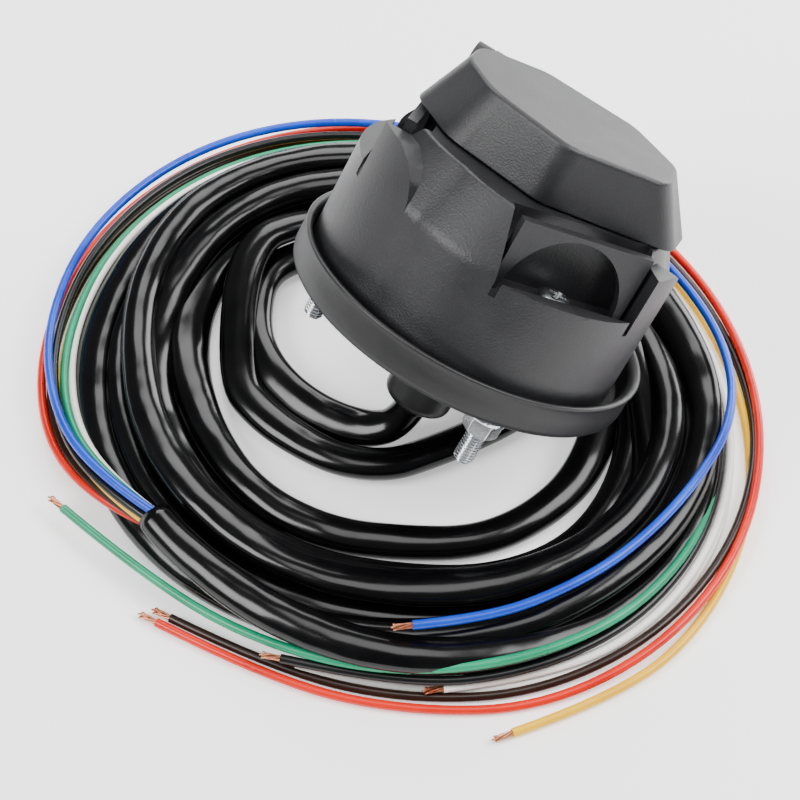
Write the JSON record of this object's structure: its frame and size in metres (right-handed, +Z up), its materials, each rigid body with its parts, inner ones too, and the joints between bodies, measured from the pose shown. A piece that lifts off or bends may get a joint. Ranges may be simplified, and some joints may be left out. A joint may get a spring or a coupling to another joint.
{
  "type": "trailer wiring connector",
  "caption": "Round seven-pole trailer socket with a sprung lid, stud fixings, gasket and a coiled sleeved cable with bare wire ends.",
  "frame": {"origin": "on the surface that the connector lies on, below the middle of the socket's box", "axes": "+Z up; +Y the way the socket leans; +X across the socket, its shortest extent"},
  "size_m": [0.1967, 0.1773, 0.0976],
  "materials": {
    "housing_plastic": "moulded, fine grain",
    "lid_plastic": "moulded, fine grain",
    "carrier_plastic": "moulded",
    "gasket_rubber": "satin",
    "boot_rubber": "satin",
    "seal_rubber": "satin",
    "zinc_steel": "bright zinc plated",
    "pin_steel": "bright",
    "spring_steel": "drawn",
    "contact_brass": "turned",
    "sleeve_pvc": "glossy",
    "bare_copper": "stranded",
    "blue_pvc": "glossy insulation",
    "black_pvc": "glossy insulation",
    "yellow_pvc": "glossy insulation",
    "green_pvc": "glossy insulation",
    "brown_pvc": "glossy insulation",
    "red_pvc": "glossy insulation",
    "white_pvc": "glossy insulation"
  },
  "bodies": {
    "socket": {"housing": "housing_plastic", "contact_carrier": "carrier_plastic", "rear_cover": "carrier_plastic", "gasket": "gasket_rubber", "cable_boot": "boot_rubber", "mounting_bolts": "zinc_steel", "bolt_washers": "zinc_steel", "bolt_nuts": "zinc_steel", "hinge_pin": "pin_steel", "hinge_spring": "spring_steel", "contact_sleeves": "contact_brass", "clamp_screws": "zinc_steel", "carrier_screws": "zinc_steel", "sleeve_lead": "sleeve_pvc", "sleeve_coil": "sleeve_pvc", "copper_ends": "bare_copper", "wire_blue": "blue_pvc", "wire_black": "black_pvc", "wire_yellow": "yellow_pvc", "wire_green": "green_pvc", "wire_brown": "brown_pvc", "wire_red": "red_pvc", "wire_white": "white_pvc", "wire_white_spare": "white_pvc"},
    "lid": {"lid": "lid_plastic", "lid_seal": "seal_rubber"}
  },
  "joints": [
    {"name": "lid_hinge", "type": "hinge", "parent": "socket", "child": "lid", "pos_m": [-0.02589, 0.03446, 0.06576], "axis": [-0.9135, -0.3332, 0.2333], "range_deg": [0, 110], "stiffness_Nm_per_rad": 0.05, "springref_deg": -34.38}
  ]
}
